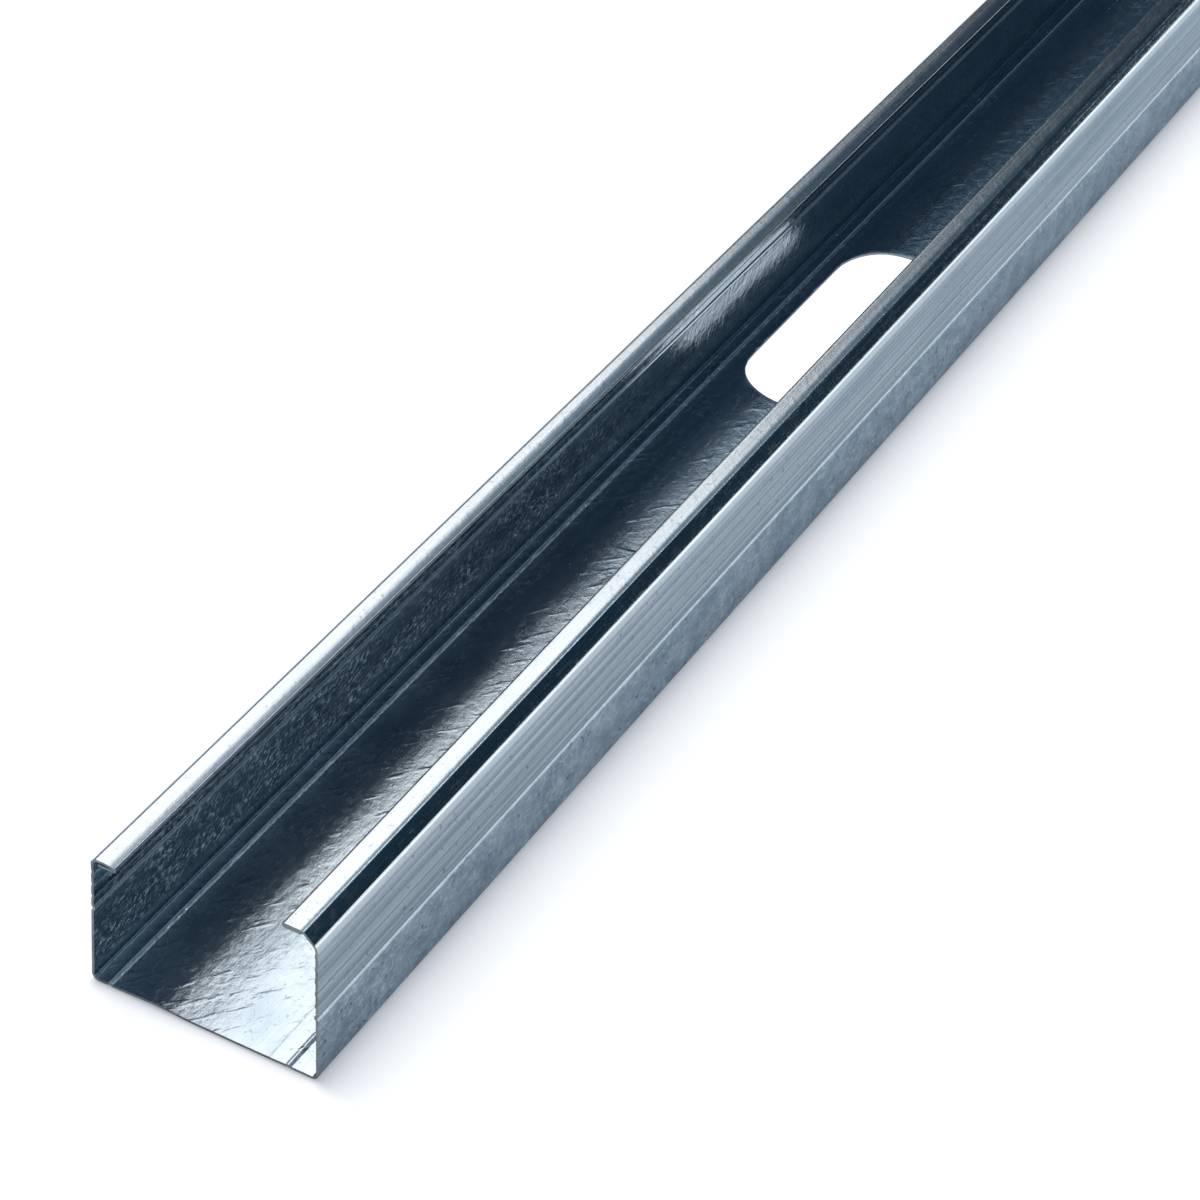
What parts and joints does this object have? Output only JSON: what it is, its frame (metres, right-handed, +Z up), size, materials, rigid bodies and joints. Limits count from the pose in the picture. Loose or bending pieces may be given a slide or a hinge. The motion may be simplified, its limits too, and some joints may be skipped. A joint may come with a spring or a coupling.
{
  "type": "steel stud",
  "caption": "Galvanised roll-formed C-section stud with folded lips, fluted flanges, ribbed web and rounded service holes, cut square at both ends.",
  "frame": {"origin": "centre of the bounding box on the floor: middle of the stud's length, on the underside of the web", "axes": "+Y along the stud, away from the end seen in the picture; +X across the web towards the taller flange; +Z up, from the web to the lips"},
  "size_m": [0.0634, 2.4384, 0.045],
  "materials": {
    "galvanised_steel": "galvanised, satin, with fine rolling lines and faint spangle"
  },
  "bodies": {
    "root": {"stud": "galvanised_steel"}
  },
  "joints": []
}
